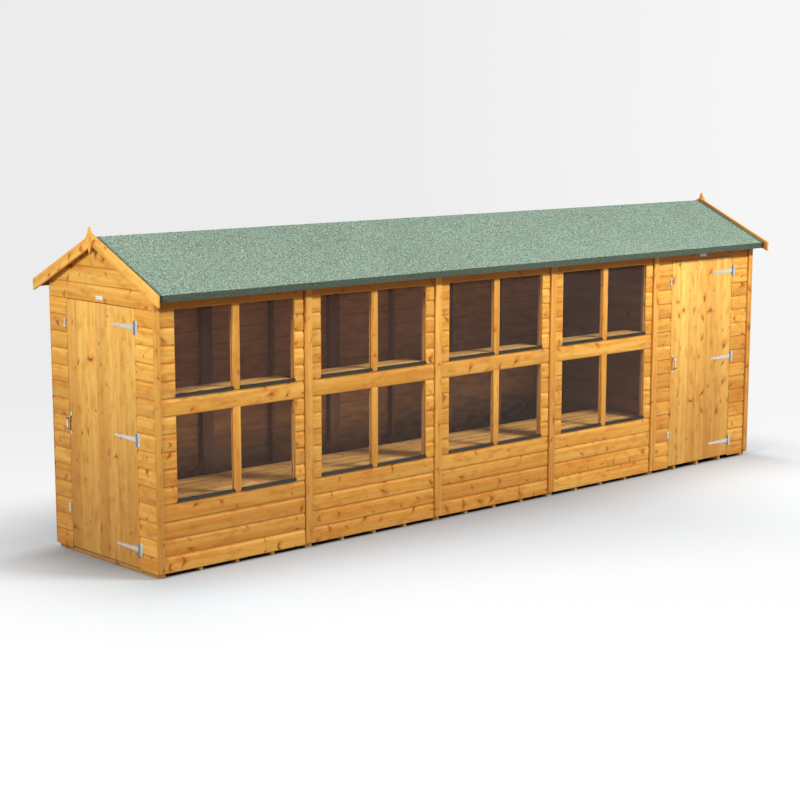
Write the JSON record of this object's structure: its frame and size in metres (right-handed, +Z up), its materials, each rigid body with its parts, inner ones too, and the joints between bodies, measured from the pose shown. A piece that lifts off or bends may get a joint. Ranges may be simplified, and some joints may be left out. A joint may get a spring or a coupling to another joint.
{
  "type": "potting shed",
  "caption": "Long apex shed of honey-coloured shiplap with paned windows along the front, a door in one gable, a tool store with its own door, a green felt roof and inner staging.",
  "frame": {"origin": "on the ground under the middle of the shed", "axes": "+X along the ridge towards the tool store, +Y from the windows to the back wall, +Z up"},
  "size_m": [6.132, 1.436, 2.188],
  "materials": {
    "cladding": "amber dip-treated softwood shiplap",
    "framing": "sawn amber dip-treated softwood",
    "trim": "planed amber dip-treated softwood",
    "door": "planed yellow-amber softwood boards",
    "floor": "planed softwood boards on sawn joists",
    "staging": "planed softwood slats",
    "roof_sheet": "sawn softwood roof sheet",
    "felt": "green mineral roofing felt",
    "panes": "clear glazing sheet",
    "drip": "slate-grey drip bar",
    "zinc": "bright zinc-plated steel",
    "label": "plain white plate"
  },
  "bodies": {
    "structure": {"back_cladding": "cladding", "back_cover_strips": "trim", "back_frames": "framing", "bargeboards_left": "trim", "bargeboards_right": "trim", "button_pivots": "zinc", "corner_strips": "trim", "door_gable_cladding": "cladding", "door_gable_frame": "framing", "drip_bars": "drip", "eaves_battens": "framing", "finials": "trim", "floor_deck": "floor", "floor_joists": "floor", "front_cover_strips": "trim", "glazing_beads": "trim", "hinge_pins": "zinc", "hinge_plates": "zinc", "label_plates": "label", "partition_boards": "framing", "partition_frame": "framing", "plain_gable_cladding": "cladding", "plain_gable_frame": "framing", "plate_screws": "zinc", "roof_boards_back": "roof_sheet", "roof_boards_front": "roof_sheet", "roof_felt_back": "felt", "roof_felt_front": "felt", "roof_frames": "framing", "staging_frame": "staging", "staging_slats": "staging", "store_cladding": "cladding", "store_frame": "framing", "window_cladding_1": "cladding", "window_cladding_2": "cladding", "window_cladding_3": "cladding", "window_cladding_4": "cladding", "window_frame_1": "framing", "window_frame_2": "framing", "window_frame_3": "framing", "window_frame_4": "framing", "window_mullions": "trim", "window_panes": "panes", "window_shelves": "staging"},
    "gable_door": {"gable_door_boards": "door", "gable_door_ledges": "door", "gable_door_straps": "zinc", "gable_door_handle": "zinc", "gable_door_screws": "zinc"},
    "store_door": {"store_door_boards": "door", "store_door_ledges": "door", "store_door_straps": "zinc", "store_door_handle": "zinc", "store_door_screws": "zinc"},
    "gable_button_lower": {"gable_button_lower": "zinc"},
    "gable_button_upper": {"gable_button_upper": "zinc"},
    "store_button_lower": {"store_button_lower": "zinc"},
    "store_button_upper": {"store_button_upper": "zinc"}
  },
  "joints": [
    {"name": "gable_door_hinge", "type": "hinge", "parent": "structure", "child": "gable_door", "pos_m": [-3.006, -0.392, 0.87], "axis": [0, 0, 1], "range_deg": [0, 160]},
    {"name": "store_door_hinge", "type": "hinge", "parent": "structure", "child": "store_door", "pos_m": [2.744, -0.593, 0.87], "axis": [0, 0, 1], "range_deg": [0, 160]},
    {"name": "gable_button_lower_turn", "type": "hinge", "parent": "structure", "child": "gable_button_lower", "pos_m": [-3.0055, 0.409, 0.301], "axis": [1, 0, 0], "range_deg": [0, 90]},
    {"name": "gable_button_upper_turn", "type": "hinge", "parent": "structure", "child": "gable_button_upper", "pos_m": [-3.0055, 0.409, 1.538], "axis": [1, 0, 0], "range_deg": [0, 90]},
    {"name": "store_button_lower_turn", "type": "hinge", "parent": "structure", "child": "store_button_lower", "pos_m": [1.959, -0.5925, 0.301], "axis": [0, 1, 0], "range_deg": [0, 90]},
    {"name": "store_button_upper_turn", "type": "hinge", "parent": "structure", "child": "store_button_upper", "pos_m": [1.959, -0.5925, 1.538], "axis": [0, 1, 0], "range_deg": [0, 90]}
  ]
}
